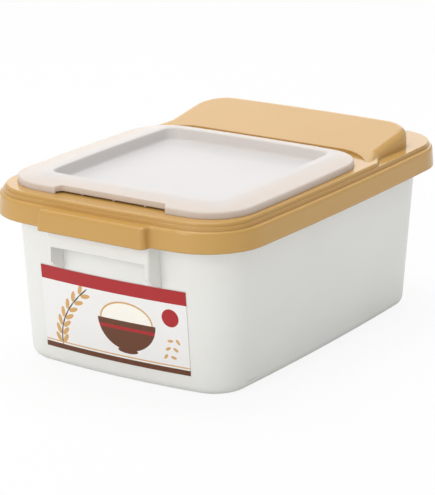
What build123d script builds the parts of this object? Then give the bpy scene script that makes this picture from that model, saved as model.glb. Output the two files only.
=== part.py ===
from build123d import *
import math
import os

os.makedirs("parts", exist_ok=True)

# All sizes are in millimetres. X is the width, the grip is at -Y and +Z is up.
# The pieces are drawn about the middle of the lid's frame and then moved as one,
# so that the origin is at the middle of the whole outline, on the resting face.

# Frame of the outer lid, and the bow of its long sides and of its ends.
WIDTH = 222.0
FRAME_DEPTH = 334.0
FRAME_CORNER = 46.5
SIDE_BOW = 3.5
END_BOW = 6.9

# Bin.
BIN_HEIGHT = 122.0
BIN_WALL = 2.2
BIN_FLOOR = 2.5
OVERHANG_SIDE = 10.2
OVERHANG_END = 13.8
TAPER_SIDE = 7.6
TAPER_END = 11.9
TOP_CORNER = 42.0
FOOT_CORNER = 27.0
FOOT_ROUND = 7.5
INNER_ROUND = 5.5
RIM_THICKNESS = 2.0
RIM_DROP = 7.5
RIM_LIP = 1.6
RIM_CLEARANCE = 0.8

# Grip under the lid's front tab: a hanging lip between two gussets.
GRIP_WIDTH = 87.0
GRIP_PLATE = 2.0
GRIP_GUSSET = 3.4
GRIP_REACH = 0.5
GRIP_LIP_DROP = 23.8
GUSSET_STRAIGHT = 34.0
GUSSET_DROP = 43.5
GUSSET_BULGE = 1.0
GRIP_CORNER = 2.0

# Outer lid.
LID_WALL = 2.0
SKIRT_HEIGHT = 15.0
SKIRT_DRAFT = 1.2
SKIRT_ROUND = 2.0
GASKET_HEIGHT = 3.0
DECK_INSET = 4.4
DECK_STEP = 2.9
PLATFORM_INSET = 5.9
PLATFORM_STEP = 5.5
STEP_CORNER = 42.0
STEP_DRAFT = 0.8
STEP_ROUND = 1.2
DECK_ROUND = 0.4
TAB_OVERHANG = 2.5
TAB_REACH = 6.5
TAB_CORNER = 4.0
TAB_ROOT = 2.0

# Hump at the rear of the outer lid. Lengths are counted from its rear wall.
HUMP_RISE = 12.5
HUMP_ROUND = 6.0
HUMP_SETBACK = 36.0
RAMP_LENGTH = 84.0
NECK_LENGTH = 81.0
NECK_REST = 62.0
NECK_CORNER = 7.0
HUMP_SIDE = 15.7
HUMP_CORNER = 26.0
HUMP_BOW = 2.0

# Flip lid.
FLIP_SIDE = 12.0
FLIP_FRONT = 17.5
FLIP_REAR = 78.8
FLIP_CORNER = 35.0
FLIP_SIDE_BOW = 1.9
FLIP_END_BOW = 2.8
FLIP_WALL = 1.5
FLIP_SKIRT = 5.0
FLIP_SKIRT_DRAFT = 0.5
FLIP_SHOULDER_ROUND = 1.4
CROWN_RISE = 2.0
RIDGE_WIDTH = 6.5
RIDGE_SIDE = 25.2
RIDGE_FRONT = 27.0
RIDGE_REAR = 14.8
RIDGE_CORNER = 8.0
RIDGE_ROUND = 1.2
DISH_DEPTH = 8.5
DISH_DRAFT = 2.5
DISH_CORNER = 14.0
DISH_ROUND = 2.0
NOTCH_WIDTH = 88.0
NOTCH_FLARE = 4.0
NOTCH_DEPTH = 6.5
NOTCH_CORNER = 2.5
NOTCH_GAP = 1.3
RIB_THICKNESS = 1.2
RIB_LENGTH = 10.0
RIB_GAP = 0.4
RIB_PITCH = 27.0

# Filling opening: its collar stands inside the flip lid's ridge.
DISH_CLEARANCE = 0.8
COLLAR_WALL = 2.0
FLIP_GASKET_HEIGHT = 2.0
FLIP_GASKET_WIDTH = 3.2
GASKET_BEAD = 1.8
GASKET_BASE = 1.2

# Hinge: pins of the flip lid turn in bosses of the outer lid.
POCKET_SIDE_GAP = 2.5
POCKET_REAR_GAP = 11.0
HINGE_SETBACK = 3.8
KNUCKLE_RADIUS = 2.2
PIN_RADIUS = 1.3
PIN_CLEARANCE = 0.06
PIN_END_GAP = 0.4
BOSS_SPREAD = 78.0
BOSS_LENGTH = 9.0
LUG_LENGTH = 5.0
LUG_GAP = 0.3
TROUGH_DEPTH = 1.3
KNUCKLE_GAP = 0.4
TROUGH_END_GAP = 2.0

# Channel of the outer lid's gasket and the rib that centres the lid in the bin.
CHANNEL_RIB = 1.6
CHANNEL_CLEARANCE = 0.6
CHANNEL_LIP_GAP = 1.2
CENTRING_CLEARANCE = 0.8
CENTRING_DEPTH = 5.0

# Label on the front wall.
LABEL_WIDTH = 125.0
LABEL_HEIGHT = 63.5
LABEL_BOTTOM = 14.0
LABEL_THICKNESS = 0.3
LABEL_GAP = 0.2

# Measuring cup, loose on the bin's floor.
CUP_TOP_RADIUS = 36.0
CUP_FOOT_RADIUS = 29.0
CUP_HEIGHT = 66.0
CUP_WALL = 1.4
CUP_RIM = 2.2
CUP_RIM_HEIGHT = 2.0
CUP_FOOT_ROUND = 3.0
CUP_FROM_SIDE = 73.0
CUP_FROM_REAR = 89.0

# Levels that follow from the sizes above.
LEDGE = BIN_HEIGHT + GASKET_HEIGHT + LID_WALL
SKIRT_BOTTOM = LEDGE - SKIRT_HEIGHT
DECK = LEDGE + DECK_STEP
PLATFORM = LEDGE + PLATFORM_STEP
CREST = PLATFORM + HUMP_RISE
SHOULDER = PLATFORM + FLIP_SKIRT
RIDGE = SHOULDER + CROWN_RISE
DISH_FLOOR = RIDGE - DISH_DEPTH
COLLAR_TOP = RIDGE - FLIP_WALL - FLIP_GASKET_HEIGHT
HINGE_Z = PLATFORM - TROUGH_DEPTH + KNUCKLE_GAP + KNUCKLE_RADIUS
TAB_FRONT = FRAME_DEPTH / 2 + TAB_REACH
TAB_WIDTH = GRIP_WIDTH + 2 * TAB_OVERHANG
HUMP_REAR = FRAME_DEPTH / 2 - HUMP_SETBACK
HUMP_HALF_WIDTH = WIDTH / 2 - HUMP_SIDE
RAMP_START = HUMP_REAR - RAMP_LENGTH
NECK_START = HUMP_REAR - NECK_LENGTH
NECK_END = HUMP_REAR - NECK_REST
FLIP_WIDTH = WIDTH - 2 * FLIP_SIDE
FLIP_FRONT_Y = FLIP_FRONT - FRAME_DEPTH / 2
FLIP_REAR_Y = HUMP_REAR - FLIP_REAR
FLIP_DEPTH = FLIP_REAR_Y - FLIP_FRONT_Y
FLIP_Y = (FLIP_FRONT_Y + FLIP_REAR_Y) / 2
HINGE_Y = FLIP_REAR_Y + HINGE_SETBACK
CUP_X = WIDTH / 2 - CUP_FROM_SIDE
CUP_Y = FRAME_DEPTH / 2 - CUP_FROM_REAR
MARGIN = 40.0
TOLERANCE = 0.01


def outline(half_x, half_y, corner, side_bow=SIDE_BOW, end_bow=END_BOW):
    """A rounded rectangle whose four sides bow outwards."""
    x = half_x - side_bow
    y = half_y - end_bow
    sides = [
        ThreePointArc((-x, -y), (0, -half_y), (x, -y)),
        ThreePointArc((x, -y), (half_x, 0), (x, y)),
        ThreePointArc((x, y), (0, half_y), (-x, y)),
        ThreePointArc((-x, y), (-half_x, 0), (-x, -y)),
    ]
    face = make_face(Wire(sides))
    return fillet(face.vertices(), corner)


def raised(face, low, high):
    """The upright solid over a flat outline."""
    return Pos(0, 0, low) * extrude(face, high - low)


def joined(low_face, low, high_face, high):
    """The straight-sided solid between two outlines at two levels."""
    return loft([Pos(0, 0, low) * low_face, Pos(0, 0, high) * high_face], ruled=True)


def edges_at(solid, level):
    """The edges of a solid that lie wholly at one level."""
    return solid.edges().filter_by_position(Axis.Z, level - TOLERANCE, level + TOLERANCE)


def corners_at(face, y, within=TOLERANCE):
    """The corners of an outline that lie at one distance along its length."""
    return face.vertices().filter_by_position(Axis.Y, y - within, y + within)


def frame_face(inset=0.0, corner=FRAME_CORNER):
    """Outline of the lid's frame, set in from its foot."""
    return outline(WIDTH / 2 - inset, FRAME_DEPTH / 2 - inset, corner - inset)


def deck_face(inset=0.0):
    """Outline of the lid's raised deck, whose corners are fuller than the skirt's."""
    return frame_face(DECK_INSET + inset, STEP_CORNER)


def bin_face(level, inset=0.0):
    """Outline of the bin at a level, set in from its outer face."""
    share = level / BIN_HEIGHT
    half_x = WIDTH / 2 - OVERHANG_SIDE - TAPER_SIDE * (1 - share) - inset
    half_y = FRAME_DEPTH / 2 - OVERHANG_END - TAPER_END * (1 - share) - inset
    corner = FOOT_CORNER + (TOP_CORNER - FOOT_CORNER) * share - inset
    return outline(half_x, half_y, corner)


def flip_face(inset=0.0):
    """Outline of the flip lid, set in from its foot."""
    half_x = FLIP_WIDTH / 2 - inset
    half_y = FLIP_DEPTH / 2 - inset
    face = outline(half_x, half_y, FLIP_CORNER - inset, FLIP_SIDE_BOW, FLIP_END_BOW)
    return Pos(0, FLIP_Y) * face


def ridge_face(grow=0.0, corner=RIDGE_CORNER):
    """Outline of the dish's mouth, grown outwards."""
    half_x = FLIP_WIDTH / 2 - RIDGE_SIDE + grow
    front = FLIP_FRONT_Y + RIDGE_FRONT - grow
    rear = FLIP_REAR_Y - RIDGE_REAR + grow
    face = outline(half_x, (rear - front) / 2, corner + grow, FLIP_SIDE_BOW, FLIP_SIDE_BOW)
    return Pos(0, (front + rear) / 2) * face


def mirrored(points):
    """A closed outline from the points of its right half, front to rear."""
    left = [(-x, y) for x, y in reversed(points)]
    return make_face(Polyline(points + left, close=True))


def bin_outer():
    """The bin's outside as a plain tapered block with a rounded foot."""
    block = joined(bin_face(0), 0, bin_face(BIN_HEIGHT), BIN_HEIGHT)
    return fillet(edges_at(block, 0), FOOT_ROUND)


def bin_inner():
    """The space inside the bin."""
    top = BIN_HEIGHT + RIM_THICKNESS
    low_face = bin_face(BIN_FLOOR, BIN_WALL)
    space = joined(low_face, BIN_FLOOR, bin_face(top, BIN_WALL), top)
    return fillet(edges_at(space, BIN_FLOOR), INNER_ROUND)


def grip():
    """The hanging lip and its two gussets, as an open box in front of the bin."""
    inset = SKIRT_DRAFT + LID_WALL + RIM_CLEARANCE
    front = -FRAME_DEPTH / 2 + inset - GRIP_REACH
    back = -FRAME_DEPTH / 2 + OVERHANG_END + TAPER_END
    wall_share = (BIN_HEIGHT - GUSSET_DROP) / BIN_HEIGHT
    wall = -FRAME_DEPTH / 2 + OVERHANG_END + TAPER_END * (1 - wall_share)
    low = BIN_HEIGHT - GUSSET_DROP
    bend = BIN_HEIGHT - GUSSET_STRAIGHT
    middle = ((front + wall) / 2 - GUSSET_BULGE, (low + bend) / 2 - GUSSET_BULGE)
    side = [
        Line((back, low), (back, BIN_HEIGHT)),
        Line((back, BIN_HEIGHT), (front, BIN_HEIGHT)),
        Line((front, BIN_HEIGHT), (front, bend)),
        ThreePointArc((front, bend), middle, (wall, low)),
        Line((wall, low), (back, low)),
    ]
    profile = make_face(Wire([Plane.YZ * edge for edge in side]))
    block = Pos(-GRIP_WIDTH / 2, 0, 0) * extrude(profile, GRIP_WIDTH, dir=(1, 0, 0))
    uprights = block.edges().filter_by(Axis.Z).group_by(Axis.Y)[0]
    block = fillet(uprights, GRIP_CORNER)
    inner = GRIP_WIDTH - 2 * GRIP_GUSSET
    ceiling = BIN_HEIGHT - RIM_THICKNESS
    lip_back = front + GRIP_PLATE
    pocket = Box(inner, back - lip_back, ceiling, align=(Align.CENTER, Align.MIN, Align.MIN))
    under = Box(inner, MARGIN, BIN_HEIGHT - GRIP_LIP_DROP, align=(Align.CENTER, Align.MIN, Align.MIN))
    return block - Pos(0, lip_back, 0) * pocket - Pos(0, front - MARGIN / 2, 0) * under


def bin_body():
    """Bin with its turned-down rim and the front grip."""
    inset = SKIRT_DRAFT + LID_WALL + RIM_CLEARANCE
    flange = raised(frame_face(inset), BIN_HEIGHT - RIM_THICKNESS, BIN_HEIGHT)
    lip_face = frame_face(inset) - frame_face(inset + RIM_LIP)
    lip = raised(lip_face, BIN_HEIGHT - RIM_DROP, BIN_HEIGHT)
    hook = grip()
    behind = Box(
        GRIP_WIDTH - 2 * GRIP_GUSSET,
        MARGIN,
        RIM_DROP - RIM_THICKNESS,
        align=(Align.CENTER, Align.MAX, Align.MAX),
    )
    lip -= Pos(0, OVERHANG_END - FRAME_DEPTH / 2, BIN_HEIGHT - RIM_THICKNESS) * behind
    return bin_outer() + flange + lip + hook - bin_inner()


def tabbed_face(inset=0.0):
    """Outline of the lid's skirt with the front tab, set in all round."""
    front = inset - TAB_FRONT
    half_x = TAB_WIDTH / 2 - inset
    tab = Rectangle(2 * half_x, MARGIN, align=(Align.CENTER, Align.MIN))
    face = frame_face(inset) + Pos(0, front) * tab
    face = fillet(corners_at(face, front), TAB_CORNER - inset)
    sides = face.vertices().filter_by(lambda v: abs(abs(v.X) - half_x) < TOLERANCE)
    return fillet(sides.group_by(Axis.Y)[-1], TAB_ROOT + inset)


def platform_face(inset=0.0):
    """Outline of the raised front platform, which ends at the neck's slanted sides."""
    slant = (WIDTH / 2 - PLATFORM_INSET - HUMP_HALF_WIDTH) / (NECK_END - NECK_START)
    neck_x = HUMP_HALF_WIDTH - inset * math.hypot(1, slant)
    keep = [
        (neck_x + slant * (NECK_END + FRAME_DEPTH), -FRAME_DEPTH),
        (neck_x, NECK_END),
    ]
    face = frame_face(PLATFORM_INSET + inset, STEP_CORNER) & mirrored(keep)
    return fillet(corners_at(face, NECK_START, 2 * STEP_ROUND), NECK_CORNER / 2)


def hump_face(inset=0.0):
    """Outline of the hump, from under the platform to its bowed rear wall."""
    start = NECK_START - MARGIN / 2
    half_x = WIDTH / 2 - PLATFORM_INSET - 2 * STEP_ROUND
    half = [
        (half_x, start),
        (half_x, NECK_START),
        (HUMP_HALF_WIDTH, NECK_END),
        (HUMP_HALF_WIDTH, HUMP_REAR + HUMP_BOW),
    ]
    bow_radius = HUMP_HALF_WIDTH**2 / (2 * HUMP_BOW)
    face = mirrored(half) & Pos(0, HUMP_REAR - bow_radius) * Circle(bow_radius)
    face = fillet(corners_at(face, NECK_START), NECK_CORNER)
    face = fillet(corners_at(face, NECK_END), NECK_CORNER)
    face = fillet(face.vertices().group_by(Axis.Y)[-1], HUMP_CORNER)
    face = fillet(corners_at(face, start), NECK_CORNER)
    return offset(face, -inset) if inset else face


def hump(inset=0.0):
    """The hump's block under its ramp, with all its top edges rounded."""
    run = HUMP_REAR - RAMP_START
    level = run - HUMP_ROUND
    short = HUMP_ROUND - HUMP_RISE
    spread = level**2 - HUMP_ROUND**2
    root = math.sqrt((level * short) ** 2 - spread * (short**2 - HUMP_ROUND**2))
    slope = (root - level * short) / spread
    fall = slope * MARGIN
    front = RAMP_START - MARGIN
    rear = HUMP_REAR + MARGIN
    low = PLATFORM - 2 * MARGIN
    roof_front = PLATFORM - fall - inset
    roof_rear = PLATFORM + slope * (run + MARGIN) - inset
    side = Polyline((front, low), (rear, low), (rear, roof_rear), (front, roof_front), close=True)
    wedge = extrude(make_face(Plane.YZ * side), WIDTH / 2, both=True)
    block = raised(hump_face(inset), low, CREST + MARGIN) & wedge
    roof = block.faces().sort_by(Axis.Z)[-1]
    return fillet(roof.edges(), HUMP_ROUND - inset)


def lid_block(inset=0.0):
    """The outer lid's outside, or with an inset the space under it."""
    top = LEDGE - inset
    skirt = joined(tabbed_face(inset), SKIRT_BOTTOM, tabbed_face(inset + SKIRT_DRAFT), top)
    skirt = fillet(edges_at(skirt, top), max(SKIRT_ROUND - inset, SKIRT_ROUND / 4))
    low = LEDGE - SKIRT_HEIGHT / 2
    deck = joined(deck_face(inset), low, deck_face(inset + STEP_DRAFT), DECK - inset)
    deck = fillet(edges_at(deck, DECK - inset), DECK_ROUND)
    platform = joined(platform_face(inset), low, platform_face(inset + STEP_DRAFT), PLATFORM - inset)
    platform = fillet(edges_at(platform, PLATFORM - inset), STEP_ROUND)
    rear = hump(inset) & raised(deck_face(inset), SKIRT_BOTTOM, CREST + MARGIN)
    return skirt + deck + platform + rear


def ring(face_outer, face_inner, low, high):
    """An upright band between two outlines."""
    return raised(face_outer - face_inner, low, high)


def pocket_face(grow=0.0):
    """Outline of the clear space round the flip lid, cut into the hump's front."""
    half_x = FLIP_WIDTH / 2 + POCKET_SIDE_GAP + grow
    rear = FLIP_REAR_Y + POCKET_REAR_GAP + grow
    length = rear + FRAME_DEPTH / 2 + MARGIN
    face = Rectangle(2 * half_x, length, align=(Align.CENTER, Align.MAX))
    face = Pos(0, rear) * face
    return fillet(corners_at(face, rear), FLIP_CORNER + POCKET_SIDE_GAP + grow)


def trough_face(grow=0.0):
    """Outline of the shallow trough that the hinge lies in."""
    half_x = BOSS_SPREAD / 2 + BOSS_LENGTH / 2 + LUG_GAP + LUG_LENGTH + TROUGH_END_GAP + grow
    reach = HINGE_SETBACK + FLIP_WALL + KNUCKLE_GAP + grow
    return Pos(0, HINGE_Y) * Rectangle(2 * half_x, 2 * reach)


def bosses():
    """The two bored bosses that hold the flip lid's pins."""
    low = PLATFORM - TROUGH_DEPTH - LID_WALL / 2
    foot = Box(BOSS_LENGTH, 2 * KNUCKLE_RADIUS, HINGE_Z - low, align=(Align.CENTER, Align.CENTER, Align.MIN))
    barrel = Rot(0, 90, 0) * Cylinder(KNUCKLE_RADIUS, BOSS_LENGTH)
    bore = Rot(0, 90, 0) * Cylinder(PIN_RADIUS + PIN_CLEARANCE, 2 * BOSS_LENGTH)
    boss = Pos(0, 0, low - HINGE_Z) * foot + barrel - bore
    return [Pos(side * BOSS_SPREAD / 2, HINGE_Y, HINGE_Z) * boss for side in (-1, 1)]


def opening_face(grow=0.0):
    """Outline of the filling opening inside its collar."""
    return ridge_face(FLIP_WALL + DISH_CLEARANCE + grow)


def channel_face(inset=0.0):
    """Outline of the gasket's channel, just inside the skirt."""
    return frame_face(SKIRT_DRAFT + LID_WALL + inset)


def outer_lid():
    """Outer lid: shell, opening collar, hinge bosses, gasket channel and centring rib."""
    outside = lid_block()
    space = lid_block(LID_WALL)
    seat = raised(pocket_face(LID_WALL), PLATFORM - LID_WALL, CREST + MARGIN)
    sunk = PLATFORM - TROUGH_DEPTH - LID_WALL
    under_trough = raised(trough_face(LID_WALL), sunk, PLATFORM)
    shell = outside - (space - seat - under_trough)
    shell -= raised(pocket_face(), PLATFORM, CREST + MARGIN)
    shell -= raised(trough_face(), PLATFORM - TROUGH_DEPTH, PLATFORM + MARGIN)
    for boss in bosses():
        shell += boss
    channel_wide = DECK_INSET + LID_WALL + STEP_DRAFT
    rib_face = frame_face(channel_wide) - frame_face(channel_wide + CHANNEL_RIB)
    channel_rib = raised(rib_face, BIN_HEIGHT + CHANNEL_LIP_GAP, CREST + MARGIN)
    inset = BIN_WALL + CENTRING_CLEARANCE
    centring = bin_face(BIN_HEIGHT, inset) - bin_face(BIN_HEIGHT, inset + CHANNEL_RIB)
    centring_rib = raised(centring, BIN_HEIGHT - CENTRING_DEPTH, CREST + MARGIN)
    shell += (channel_rib + centring_rib) & outside
    collar = raised(opening_face(COLLAR_WALL), PLATFORM - LID_WALL, COLLAR_TOP)
    shell += collar
    return shell - raised(opening_face(), SKIRT_BOTTOM, CREST + MARGIN)


def outer_lid_gasket():
    """Soft ring in the channel, with a narrower bead that meets the bin's rim."""
    outer = CHANNEL_CLEARANCE
    channel_wide = DECK_INSET + LID_WALL + STEP_DRAFT
    inner = channel_wide - SKIRT_DRAFT - LID_WALL - CHANNEL_CLEARANCE
    top = BIN_HEIGHT + GASKET_HEIGHT
    base = ring(channel_face(outer), channel_face(inner), top - GASKET_BASE, top)
    middle = (outer + inner) / 2
    half = GASKET_BEAD / 2
    bead_face = channel_face(middle - half) - channel_face(middle + half)
    return base + raised(bead_face, BIN_HEIGHT, top)


def flip_gasket():
    """Soft ring under the flip lid's ridge, which the opening's collar meets."""
    middle = FLIP_WALL + DISH_CLEARANCE + COLLAR_WALL / 2
    half = FLIP_GASKET_WIDTH / 2
    top = RIDGE - FLIP_WALL
    base = ring(ridge_face(middle + half), ridge_face(middle - half), top - GASKET_BASE, top)
    bead = GASKET_BEAD / 2
    bead_face = ridge_face(middle + bead) - ridge_face(middle - bead)
    return base + raised(bead_face, COLLAR_TOP, top)


def cap(inset=0.0):
    """The flip lid's cover without its dish, or the space under it."""
    shoulder = SHOULDER - inset
    crown_foot = flip_face(inset + FLIP_SKIRT_DRAFT)
    skirt = joined(flip_face(inset), PLATFORM, crown_foot, shoulder)
    crown = joined(crown_foot, shoulder, ridge_face(RIDGE_WIDTH), RIDGE - inset)
    return skirt + crown


def dish(grow=0.0):
    """The sunk middle of the flip lid, grown outwards by a wall."""
    low = DISH_FLOOR - grow
    tub = joined(ridge_face(grow - DISH_DRAFT, DISH_CORNER), low, ridge_face(grow), RIDGE)
    return fillet(edges_at(tub, low), DISH_ROUND + grow)


def notch_face(grow=0.0):
    """Outline of the finger notch in the front of the flip lid's skirt."""
    back = FLIP_FRONT_Y + NOTCH_DEPTH + grow
    half_x = NOTCH_WIDTH / 2 + grow
    half = [(half_x + 2 * NOTCH_FLARE, FLIP_FRONT_Y - NOTCH_DEPTH), (half_x, back)]
    return fillet(corners_at(mirrored(half), back), NOTCH_CORNER + grow)


def finger_ribs():
    """Three short ribs that stiffen the wall behind the finger notch."""
    rib = Box(RIB_THICKNESS, RIB_LENGTH, MARGIN, align=(Align.CENTER, Align.MIN, Align.MIN))
    back = FLIP_FRONT_Y + NOTCH_DEPTH
    return [Pos(x, back, PLATFORM + RIB_GAP) * rib for x in (-RIB_PITCH, 0, RIB_PITCH)]


def lugs():
    """The flip lid's two hinge lugs with their pins, which point at the middle."""
    reach = HINGE_SETBACK + FLIP_WALL
    top = SHOULDER - FLIP_SHOULDER_ROUND - HINGE_Z
    web = Box(LUG_LENGTH, reach, top + KNUCKLE_RADIUS, align=(Align.CENTER, Align.MAX, Align.MIN))
    web = Pos(0, 0, -KNUCKLE_RADIUS) * web
    barrel = Rot(0, 90, 0) * Cylinder(KNUCKLE_RADIUS, LUG_LENGTH)
    lug = web + barrel
    lug_x = BOSS_SPREAD / 2 + BOSS_LENGTH / 2 + LUG_GAP + LUG_LENGTH / 2
    pin_length = LUG_LENGTH / 2 + LUG_GAP + BOSS_LENGTH - PIN_END_GAP
    pin = Rot(0, 90, 0) * Cylinder(PIN_RADIUS, pin_length)
    pin_x = lug_x - pin_length / 2
    solids = []
    for side in (-1, 1):
        solids.append(Pos(side * lug_x, HINGE_Y, HINGE_Z) * lug)
        solids.append(Pos(side * pin_x, HINGE_Y, HINGE_Z) * pin)
    return solids


def flip_lid():
    """Flip lid: skirt, crowned band, ridge and dish, with notch, ribs and hinge lugs."""
    outside = cap()
    outside = fillet(edges_at(outside, SHOULDER), FLIP_SHOULDER_ROUND)
    outside = outside + dish(FLIP_WALL) - dish()
    ridge = outside.faces().sort_by(Axis.Z)[-1]
    outside = fillet(ridge.inner_wires()[0].edges(), RIDGE_ROUND)
    space = cap(FLIP_WALL) - dish(FLIP_WALL)
    space -= raised(notch_face(FLIP_WALL), PLATFORM + NOTCH_GAP, RIDGE)
    for rib in finger_ribs():
        space -= rib
    shell = outside - space
    for lug in lugs():
        shell += lug
    return shell - raised(notch_face(), PLATFORM - MARGIN, RIDGE + MARGIN)


def front_label():
    """Paper label that follows the bin's front wall, just clear of it."""
    back = -LABEL_GAP
    face = back - LABEL_THICKNESS
    sheet = joined(bin_face(0, face), 0, bin_face(BIN_HEIGHT, face), BIN_HEIGHT)
    sheet -= joined(bin_face(0, back), 0, bin_face(BIN_HEIGHT, back), BIN_HEIGHT)
    window = Box(LABEL_WIDTH, FRAME_DEPTH, LABEL_HEIGHT, align=(Align.CENTER, Align.MAX, Align.MIN))
    return sheet & Pos(0, 0, LABEL_BOTTOM) * window


def measuring_cup():
    """Tapered cup with a rim, drawn standing on its foot."""
    outer = Pos(0, 0, CUP_HEIGHT / 2) * Cone(CUP_FOOT_RADIUS, CUP_TOP_RADIUS, CUP_HEIGHT)
    outer = fillet(edges_at(outer, 0), CUP_FOOT_ROUND)
    rim = Pos(0, 0, CUP_HEIGHT - CUP_RIM_HEIGHT / 2) * Cylinder(CUP_TOP_RADIUS + CUP_RIM, CUP_RIM_HEIGHT)
    slope = (CUP_TOP_RADIUS - CUP_FOOT_RADIUS) / CUP_HEIGHT
    low_radius = CUP_FOOT_RADIUS + slope * CUP_WALL - CUP_WALL
    inner = Cone(low_radius, low_radius + slope * CUP_HEIGHT, CUP_HEIGHT)
    inner = Pos(0, 0, CUP_WALL + CUP_HEIGHT / 2) * inner
    inner = fillet(edges_at(inner, CUP_WALL), CUP_FOOT_ROUND - CUP_WALL / 2)
    return outer + rim - inner


def write(piece, name):
    """Move a piece to the part's own origin and write it."""
    placed = Pos(0, TAB_REACH / 2, 0) * piece
    placed.label = name
    export_step(placed, f"parts/{name}.step")


write(bin_body(), "bin_body")
write(front_label(), "front_label")
write(Pos(CUP_X, CUP_Y, BIN_FLOOR) * measuring_cup(), "measuring_cup")
write(outer_lid(), "outer_lid")
write(outer_lid_gasket(), "outer_lid_gasket")
write(flip_lid(), "flip_lid")
write(flip_gasket(), "flip_lid_gasket")
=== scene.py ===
import math

import bpy
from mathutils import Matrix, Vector


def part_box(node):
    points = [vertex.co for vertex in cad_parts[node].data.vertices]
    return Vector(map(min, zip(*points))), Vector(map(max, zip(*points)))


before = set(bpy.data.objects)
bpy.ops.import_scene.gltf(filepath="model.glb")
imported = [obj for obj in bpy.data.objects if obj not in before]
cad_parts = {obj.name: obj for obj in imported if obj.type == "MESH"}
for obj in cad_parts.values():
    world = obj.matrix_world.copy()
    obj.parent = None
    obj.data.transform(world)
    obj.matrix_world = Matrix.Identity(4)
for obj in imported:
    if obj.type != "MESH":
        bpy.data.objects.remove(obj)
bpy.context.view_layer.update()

# Bin body. The real piece is an open off-white bin with a turned-down rim and a grip
# lip between two gussets, injection moulded in one shot from opaque polypropylene.
BIN_WHITE = "F1F1ED"
BIN_WHITE_DEEP = "EAEAE5"
BIN_GLOSS = (0.26, 0.36)
POLYPROPYLENE_IOR = 1.49
MILLIMETRE = 0.001
FLOW_LENGTH = 90 * MILLIMETRE
FLOW_DETAIL = 2.0
FLOW_SWIRL = 0.6
SMEAR_LENGTH = 14 * MILLIMETRE
SMEAR_DETAIL = 4.0
SMEAR_BREAKUP = 0.6
GRAIN_SIZE = 1.1 * MILLIMETRE
GRAIN_DETAIL = 2.0
GRAIN_HEIGHT = 0.02 * MILLIMETRE
GRAIN_STRENGTH = 0.35
BIN_EDGE = 0.8 * MILLIMETRE
EDGE_SAMPLES = 4
# The sockets of a colour mix go by number, since each of their names stands for several.
MIX_SHARE, MIX_FIRST, MIX_SECOND, MIX_COLOUR = 0, 6, 7, 2


def linear(hex_colour):
    """An sRGB hex colour as the linear one that a socket takes, by the sRGB standard's curve."""
    channels = [int(hex_colour[i : i + 2], 16) / 255 for i in (0, 2, 4)]
    return [c / 12.92 if c <= 0.04045 else ((c + 0.055) / 1.055) ** 2.4 for c in channels] + [1.0]


def new_material(name):
    """A material with an empty node tree."""
    material = bpy.data.materials.new(name)
    material.use_nodes = True
    material.node_tree.nodes.clear()
    return material


def add(owner, kind, inputs=None, **settings):
    """Adds a node with its settings, and fills its inputs with values or links."""
    tree = owner.node_tree
    node = tree.nodes.new(kind)
    for key, value in settings.items():
        setattr(node, key, value)
    for key, value in (inputs or {}).items():
        if isinstance(value, bpy.types.NodeSocket):
            tree.links.new(value, node.inputs[key])
        else:
            node.inputs[key].default_value = value
    return node


def finish_node(name, material):
    """Gives a CAD node its material."""
    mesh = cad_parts[name].data
    mesh.materials.clear()
    mesh.materials.append(material)


def moulded(name, pale, deep, gloss, edge, more=None):
    """A moulded material and its shader. Its colour has faint clouds of flow, its gloss has
    smears, its face has the mould's grain, and its edges shade as if rounded to a radius of
    edge. What more holds goes to the shader's other inputs."""
    material = new_material(name)
    place = add(material, "ShaderNodeTexCoord").outputs["Object"]
    flow = add(
        material,
        "ShaderNodeTexNoise",
        {
            "Vector": place,
            "Scale": 1 / FLOW_LENGTH,
            "Detail": FLOW_DETAIL,
            "Distortion": FLOW_SWIRL,
        },
    )
    tint = add(
        material,
        "ShaderNodeMix",
        {MIX_SHARE: flow.outputs["Fac"], MIX_FIRST: linear(pale), MIX_SECOND: linear(deep)},
        data_type="RGBA",
    )
    smear = add(
        material,
        "ShaderNodeTexNoise",
        {
            "Vector": place,
            "Scale": 1 / SMEAR_LENGTH,
            "Detail": SMEAR_DETAIL,
            "Roughness": SMEAR_BREAKUP,
        },
    )
    polish = add(
        material,
        "ShaderNodeMapRange",
        {"Value": smear.outputs["Fac"], "To Min": gloss[0], "To Max": gloss[1]},
    )
    grain = add(
        material,
        "ShaderNodeTexNoise",
        {"Vector": place, "Scale": 1 / GRAIN_SIZE, "Detail": GRAIN_DETAIL},
    )
    soft = add(material, "ShaderNodeBevel", {"Radius": edge}, samples=EDGE_SAMPLES)
    bump = add(
        material,
        "ShaderNodeBump",
        {
            "Height": grain.outputs["Fac"],
            "Distance": GRAIN_HEIGHT,
            "Strength": GRAIN_STRENGTH,
            "Normal": soft.outputs["Normal"],
        },
    )
    surface = add(
        material,
        "ShaderNodeBsdfPrincipled",
        {
            "Base Color": tint.outputs[MIX_COLOUR],
            "Roughness": polish.outputs["Result"],
            "IOR": POLYPROPYLENE_IOR,
            "Normal": bump.outputs["Normal"],
            **(more or {}),
        },
    )
    add(material, "ShaderNodeOutputMaterial", {"Surface": surface.outputs["BSDF"]})
    return material, surface


# Opaque polypropylene from a spark-eroded mould: a waxy satin white, with broad soft
# highlights. The mould's real grain is some 0.1 mm, drawn coarser so that it shows.
white_polypropylene, _ = moulded(
    "moulded_white_polypropylene",
    BIN_WHITE,
    BIN_WHITE_DEEP,
    BIN_GLOSS,
    BIN_EDGE,
)
finish_node("bin_body", white_polypropylene)


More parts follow.
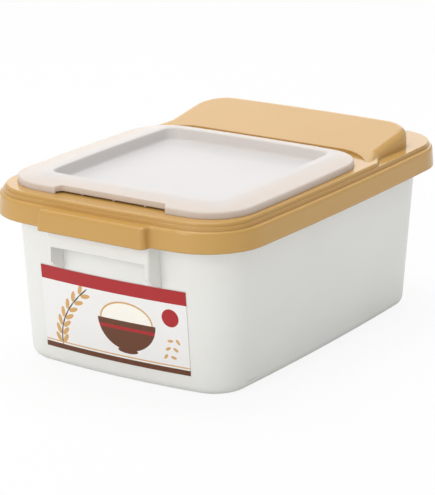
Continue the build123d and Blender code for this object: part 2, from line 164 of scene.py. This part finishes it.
# Front label. The real piece is a printed, coated paper sticker on the front wall. This
# one has a print of its own: plain stripes, an ear of rice, a filled bowl, a disc, and
# some loose grains.
PAPER_WHITE = "F7F6F5"
PAPER_SHADE = "F0EFEC"
PAPER_ROUGHNESS = 0.32
PAPER_IOR = 1.5
FIBRE_LENGTH = 1.4 * MILLIMETRE
FIBRE_DETAIL = 4.0
FIBRE_HEIGHT = 0.01 * MILLIMETRE
FIBRE_STRENGTH = 0.3
INK_RED = "B0161C"
INK_BROWN = "66371A"
INK_TAN = "D9A866"
INK_RICE = "FFFBF0"
INK_STEM = "4A4238"
RED_STRIPE = 10.3 * MILLIMETRE
BROWN_STRIPE = 4.0 * MILLIMETRE
THIN_STRIPE = 0.9 * MILLIMETRE
STRIPE_GAP = 1.2 * MILLIMETRE
BLEED = 1.0 * MILLIMETRE
# Places on the label are (x, z) in metres, and the sizes of ovals are half widths and half
# heights. The ear's stem is a third as wide as its grains.
EAR_FOOT = (-0.047, 0.023)
EAR_HEIGHT = 0.039
EAR_LEAN = 0.022
EAR_PAIRS = 7
EAR_SPREAD = 0.0032
EAR_GRAIN = (0.0017, 0.0042)
EAR_SPLAY = 0.55
STEM_SIZE = (EAR_GRAIN[0] / 3, EAR_HEIGHT / EAR_PAIRS)
BOWL_PLACE = (0.012, 0.047)
BOWL_SIZE = (0.0245, 0.0225)
BAND_TOP = 0.0045
BAND_FOOT = 0.0070
MOUND_SIZE = (0.0212, 0.0135)
OUTLINE_GROWTH = (1.06, 1.1)
MOUND_OUTLINE = (MOUND_SIZE[0] * OUTLINE_GROWTH[0], MOUND_SIZE[1] * OUTLINE_GROWTH[1])
FOOT_SIZE = (0.0085, 0.0022)
SUN_PLACE = (0.049, 0.056)
SUN_RADIUS = 0.0068
LOOSE_GRAINS = 6
LOOSE_ROWS = 3
LOOSE_HEIGHT = 0.026
LOOSE_PITCH = 0.0062
LOOSE_SIZE = (0.00231, 0.001105)
LOOSE_TURN = 0.372
# An oval is this deep, so that the wall's bow doesn't change its outline.
OVAL_DEPTH = 10.0
OVAL_RIM = 0.001

label_low, label_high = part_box("front_label")
label_paper = new_material("printed_coated_paper")
paper_place = add(label_paper, "ShaderNodeTexCoord").outputs["Object"]
paper_height = add(label_paper, "ShaderNodeSeparateXYZ", {"Vector": paper_place}).outputs["Z"]


def oval(x, z, half_x, half_z, lean=0.0):
    """Where an oval lies on the label: 1 inside it, and 0 outside."""
    local = add(
        label_paper,
        "ShaderNodeMapping",
        {
            "Vector": paper_place,
            "Location": (x, label_low[1], z),
            "Rotation": (0, lean, 0),
            "Scale": (half_x, OVAL_DEPTH, half_z),
        },
        vector_type="TEXTURE",
    )
    ball = add(
        label_paper,
        "ShaderNodeTexGradient",
        {"Vector": local.outputs[0]},
        gradient_type="SPHERICAL",
    )
    inside = add(
        label_paper,
        "ShaderNodeMath",
        {0: ball.outputs["Fac"], 1: OVAL_RIM},
        operation="GREATER_THAN",
    )
    return inside.outputs[0]


def stripe(low, high):
    """Where a level stripe lies on the label: 1 between two heights, and 0 elsewhere."""
    between = add(
        label_paper,
        "ShaderNodeMath",
        {0: paper_height, 1: (low + high) / 2, 2: (high - low) / 2},
        operation="COMPARE",
    )
    return between.outputs[0]


def printed(colour, ink, *areas):
    """The label's colour after one more ink, which lies where all its areas overlap."""
    where = areas[0]
    for area in areas[1:]:
        where = add(label_paper, "ShaderNodeMath", {0: where, 1: area}, operation="MULTIPLY").outputs[0]
    mixed = add(
        label_paper,
        "ShaderNodeMix",
        {MIX_SHARE: where, MIX_FIRST: colour, MIX_SECOND: linear(ink)},
        data_type="RGBA",
    )
    return mixed.outputs[MIX_COLOUR]


# Coated paper: smooth and half glossy, with fibres that just cloud its white. The inks
# lie flat on it, so only their colour tells them from the paper.
fibres = add(
    label_paper,
    "ShaderNodeTexNoise",
    {"Vector": paper_place, "Scale": 1 / FIBRE_LENGTH, "Detail": FIBRE_DETAIL},
)
paper = add(
    label_paper,
    "ShaderNodeMix",
    {
        MIX_SHARE: fibres.outputs["Fac"],
        MIX_FIRST: linear(PAPER_WHITE),
        MIX_SECOND: linear(PAPER_SHADE),
    },
    data_type="RGBA",
)
pressed = add(
    label_paper,
    "ShaderNodeBump",
    {"Height": fibres.outputs["Fac"], "Distance": FIBRE_HEIGHT, "Strength": FIBRE_STRENGTH},
)
print_colour = paper.outputs[MIX_COLOUR]
ear = []
for pair in range(EAR_PAIRS):
    share = pair / (EAR_PAIRS - 1)
    slope = math.atan2(2 * EAR_LEAN * share, EAR_HEIGHT)
    ear.append((EAR_FOOT[0] + EAR_LEAN * share**2, EAR_FOOT[1] + EAR_HEIGHT * share, slope))
for x, z, slope in ear:
    print_colour = printed(print_colour, INK_STEM, oval(x, z, *STEM_SIZE, slope))
for x, z, slope in ear:
    for side in (-1, 1):
        grain_x = x + side * EAR_SPREAD * math.cos(slope)
        grain_z = z - side * EAR_SPREAD * math.sin(slope)
        grain = oval(grain_x, grain_z, *EAR_GRAIN, slope + side * EAR_SPLAY)
        print_colour = printed(print_colour, INK_TAN, grain)
for count in range(LOOSE_GRAINS):
    step = count - (LOOSE_GRAINS - 1) / 2
    grain_x = SUN_PLACE[0] + step * LOOSE_PITCH / LOOSE_ROWS
    grain_z = LOOSE_HEIGHT + LOOSE_PITCH * (count % LOOSE_ROWS)
    grain = oval(grain_x, grain_z, *LOOSE_SIZE, step * LOOSE_TURN)
    print_colour = printed(print_colour, INK_TAN, grain)
# The stripes at the label's cut edges run past them by the bleed, as a printer's do.
print_low = label_low[2] - BLEED
print_high = label_high[2] + BLEED
bowl_rim = BOWL_PLACE[1]
over_rim = stripe(bowl_rim, print_high)
bowl = oval(*BOWL_PLACE, *BOWL_SIZE)
thin_low = label_low[2] + BROWN_STRIPE + STRIPE_GAP
for ink, *areas in (
    (INK_TAN, oval(*BOWL_PLACE, *MOUND_OUTLINE), over_rim),
    (INK_RICE, oval(*BOWL_PLACE, *MOUND_SIZE), over_rim),
    (INK_BROWN, oval(BOWL_PLACE[0], bowl_rim - BOWL_SIZE[1], *FOOT_SIZE)),
    (INK_BROWN, bowl, stripe(print_low, bowl_rim)),
    (INK_RED, bowl, stripe(bowl_rim - BAND_FOOT, bowl_rim - BAND_TOP)),
    (INK_RED, stripe(label_high[2] - RED_STRIPE, print_high)),
    (INK_BROWN, stripe(print_low, label_low[2] + BROWN_STRIPE)),
    (INK_RED, oval(*SUN_PLACE, SUN_RADIUS, SUN_RADIUS)),
    (INK_TAN, stripe(thin_low, thin_low + THIN_STRIPE)),
):
    print_colour = printed(print_colour, ink, *areas)
coated = add(
    label_paper,
    "ShaderNodeBsdfPrincipled",
    {
        "Base Color": print_colour,
        "Roughness": PAPER_ROUGHNESS,
        "IOR": PAPER_IOR,
        "Normal": pressed.outputs["Normal"],
    },
)
add(label_paper, "ShaderNodeOutputMaterial", {"Surface": coated.outputs["BSDF"]})
finish_node("front_label", label_paper)


# Measuring cup. The real piece is a loose thin-walled cup that stands in the bin, injection
# moulded from natural polypropylene, which lets some light through.
CUP_PALE = "F5F5F3"
CUP_DEEP = "ECECEA"
CUP_CLEARNESS = 0.35
MILKY_GLOSS = (0.28, 0.38)
MILKY_EDGE = 0.6 * MILLIMETRE
# Natural polypropylene: milky, with soft highlights, and what is close behind it shows.
natural_polypropylene, _ = moulded(
    "natural_polypropylene",
    CUP_PALE,
    CUP_DEEP,
    MILKY_GLOSS,
    MILKY_EDGE,
    {"Transmission Weight": CUP_CLEARNESS},
)
finish_node("measuring_cup", natural_polypropylene)


# Outer lid gasket. The real piece is a soft ring of white silicone rubber, pressed by hand
# into the channel under the lid; the bin's rim meets its bead.
SILICONE_WHITE = "EDEDEA"
SILICONE_DUSTY = "E2E2DE"
SILICONE_GLOSS = (0.5, 0.66)
SILICONE_EDGE = 0.4 * MILLIMETRE
SILICONE_IOR = 1.41
# Silicone rubber: matt and even, with a trace of dust that dulls it.
white_silicone, _ = moulded(
    "white_silicone_rubber",
    SILICONE_WHITE,
    SILICONE_DUSTY,
    SILICONE_GLOSS,
    SILICONE_EDGE,
    {"IOR": SILICONE_IOR},
)
finish_node("outer_lid_gasket", white_silicone)


# Outer lid. The real piece is a tan lid with a skirt, a front tab, a raised platform and
# a rear hump, injection moulded in one shot from polypropylene in a polished mould.
LID_TAN = "CFA45D"
LID_TAN_DEEP = "C99C54"
LID_GLOSS = (0.12, 0.20)
LID_EDGE = 1.5 * MILLIMETRE
# Polished opaque polypropylene: a warm tan whose deck mirrors the hump softly.
tan_polypropylene, _ = moulded(
    "moulded_tan_polypropylene",
    LID_TAN,
    LID_TAN_DEEP,
    LID_GLOSS,
    LID_EDGE,
)
finish_node("outer_lid", tan_polypropylene)


# Flip lid gasket. The real piece is a second, smaller ring of the same white silicone,
# pressed in under the flap's ridge; the opening's collar meets its bead.
finish_node("flip_lid_gasket", white_silicone)


# Flip lid. The real piece is the flap over the filling opening, with a dish, a finger
# notch and two hinge lugs, moulded from natural polypropylene. Its pins snap into the lid.
FLAP_PALE = "EBE7E5"
FLAP_DEEP = "E6E1DE"
# Painted show-through: a peach put into the flap's colour near its rim, standing in for light from the
# tan lid under it.
FLAP_PAINTED_SHOWTHROUGH = "E9D9CD"
# The painted tan show-through starts and is full at these shares of the way from the middle to the
# edge.
SHOWTHROUGH_START = 0.70
SHOWTHROUGH_END = 0.90
FLAP_EDGE = 1.2 * MILLIMETRE
FLAP_SHEEN = 0.2
FLAP_CLEARNESS = 0.14
FLAP_SCATTER = 0.4
FLAP_SCATTER_TINT = (1.0, 0.9, 0.8)
FLAP_SCATTER_DEPTH = 5 * MILLIMETRE
# Natural polypropylene: a milky white. Towards its rim a painted peach show-through stands in for the
# tan lid's light through it, and it stays neutral in the dish, which has the white bin under it.
flap_polypropylene, flap_surface = moulded(
    "natural_polypropylene_flap",
    FLAP_PALE,
    FLAP_DEEP,
    MILKY_GLOSS,
    FLAP_EDGE,
    {
        "Specular IOR Level": FLAP_SHEEN,
        "Transmission Weight": FLAP_CLEARNESS,
        "Subsurface Weight": FLAP_SCATTER,
        "Subsurface Radius": FLAP_SCATTER_TINT,
        "Subsurface Scale": FLAP_SCATTER_DEPTH,
    },
)
flap_low, flap_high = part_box("flip_lid")
flap_middle = [(low + high) / 2 for low, high in zip(flap_low, flap_high)]
flap_half = [(high - low) / 2 for low, high in zip(flap_low, flap_high)]
flap_place = add(flap_polypropylene, "ShaderNodeTexCoord").outputs["Object"]
from_middle = add(
    flap_polypropylene,
    "ShaderNodeMapping",
    {"Vector": flap_place, "Location": flap_middle, "Scale": flap_half},
    vector_type="TEXTURE",
)
unsigned = add(
    flap_polypropylene,
    "ShaderNodeVectorMath",
    {0: from_middle.outputs[0]},
    operation="ABSOLUTE",
)
parted = add(flap_polypropylene, "ShaderNodeSeparateXYZ", {"Vector": unsigned.outputs[0]})
outward = add(
    flap_polypropylene,
    "ShaderNodeMath",
    {0: parted.outputs["X"], 1: parted.outputs["Y"]},
    operation="MAXIMUM",
)
painted_showthrough_mask = add(
    flap_polypropylene,
    "ShaderNodeMapRange",
    {"Value": outward.outputs[0], "From Min": SHOWTHROUGH_START, "From Max": SHOWTHROUGH_END},
)
milky = flap_surface.inputs["Base Color"].links[0].from_socket
# Painted show-through: the base colour turns peach towards the flap's edge, for the tan lid's light
# through the rim.
painted_showthrough = add(
    flap_polypropylene,
    "ShaderNodeMix",
    {MIX_SHARE: painted_showthrough_mask.outputs["Result"], MIX_FIRST: milky, MIX_SECOND: linear(FLAP_PAINTED_SHOWTHROUGH)},
    data_type="RGBA",
)
flap_polypropylene.node_tree.links.new(painted_showthrough.outputs[MIX_COLOUR], flap_surface.inputs["Base Color"])
finish_node("flip_lid", flap_polypropylene)


# Floor. A wide sheet of matt white studio paper, laid flat, that the bin stands on. It
# lies just under the bin's foot, so that the two faces don't flicker.
FLOOR_SIZE = 12.0
FLOOR_DROP = 0.0005
FLOOR_WHITE = "F4F4F4"
FLOOR_GLOW = 0.88
PURE_WHITE = "FFFFFF"
PURE_WHITE_STRENGTH = 1.0
floor_mesh = bpy.data.meshes.new("studio_floor")
half = FLOOR_SIZE / 2
corners = [(x, y, -FLOOR_DROP) for x, y in ((-half, -half), (half, -half), (half, half), (-half, half))]
floor_mesh.from_pydata(corners, [], [(0, 1, 2, 3)])
floor = bpy.data.objects.new("studio_floor", floor_mesh)
bpy.context.collection.objects.link(floor)
# Matt paper: it keeps the bin's soft shadow, and burns out to white for the camera.
floor_paper = new_material("matt_white_paper")
matt = add(floor_paper, "ShaderNodeBsdfDiffuse", {"Color": linear(FLOOR_WHITE)})
glow = add(
    floor_paper,
    "ShaderNodeEmission",
    {"Color": linear(PURE_WHITE), "Strength": PURE_WHITE_STRENGTH},
)
floor_ray = add(floor_paper, "ShaderNodeLightPath")
glow_share = add(
    floor_paper,
    "ShaderNodeMath",
    {0: floor_ray.outputs["Is Camera Ray"], 1: FLOOR_GLOW},
    operation="MULTIPLY",
)
floor_look = add(
    floor_paper,
    "ShaderNodeMixShader",
    {0: glow_share.outputs[0], 1: matt.outputs[0], 2: glow.outputs[0]},
)
add(floor_paper, "ShaderNodeOutputMaterial", {"Surface": floor_look.outputs[0]})
floor_mesh.materials.append(floor_paper)


# Light. A white room with three softboxes: one above, one in front at the left, and a wide
# one low behind at the left, which the lid's polished top mirrors.
ROOM_LIGHT = 0.60
AIM = Vector((0, 0, 0.08))
KEY_PLACE = (-0.3, 0.1, 1.8)
KEY_SIZE = 1.2
KEY_POWER = 14
FILL_PLACE = (-0.3, -1.95, 0.8)
FILL_SIZE = 1.0
FILL_POWER = 10
SHEEN_PLACE = (-1.25, 1.95, 0.78)
SHEEN_SIZE = 1.7
SHEEN_POWER = 9
room = bpy.data.worlds.new("white_room")
bpy.context.scene.world = room
room.use_nodes = True
room.node_tree.nodes.clear()
walls = add(room, "ShaderNodeBackground", {"Color": linear(PURE_WHITE), "Strength": ROOM_LIGHT})
backdrop = add(
    room,
    "ShaderNodeBackground",
    {"Color": linear(PURE_WHITE), "Strength": PURE_WHITE_STRENGTH},
)
room_ray = add(room, "ShaderNodeLightPath")
room_look = add(
    room,
    "ShaderNodeMixShader",
    {0: room_ray.outputs["Is Camera Ray"], 1: walls.outputs[0], 2: backdrop.outputs[0]},
)
add(room, "ShaderNodeOutputWorld", {"Surface": room_look.outputs[0]})


def softbox(name, place, size, power):
    """A square area lamp that faces the bin."""
    lamp = bpy.data.lights.new(name, "AREA")
    lamp.size = size
    lamp.energy = power
    holder = bpy.data.objects.new(name, lamp)
    bpy.context.collection.objects.link(holder)
    holder.location = place
    holder.rotation_euler = (AIM - Vector(place)).to_track_quat("-Z", "Y").to_euler()


softbox("key_above", KEY_PLACE, KEY_SIZE, KEY_POWER)
softbox("fill_front", FILL_PLACE, FILL_SIZE, FILL_POWER)
softbox("sheen_behind", SHEEN_PLACE, SHEEN_SIZE, SHEEN_POWER)


# Camera. It stands where the photograph's camera stood and looks the same way, both worked
# out from the edges of the bin and the lid.
TARGET = Vector((0.0144, -0.02755, 0.0727))
EYE = Vector((0.92662, -1.43819, 0.58500))
SENSOR_WIDTH = 36.0
LENS_LENGTH = 171.93
camera_data = bpy.data.cameras.new("camera")
camera_data.sensor_width = SENSOR_WIDTH
camera_data.lens = LENS_LENGTH
camera = bpy.data.objects.new("camera", camera_data)
bpy.context.collection.objects.link(camera)
camera.location = EYE
camera.rotation_euler = (TARGET - EYE).to_track_quat("-Z", "Y").to_euler()
bpy.context.scene.camera = camera
bpy.context.scene.view_settings.view_transform = "Standard"
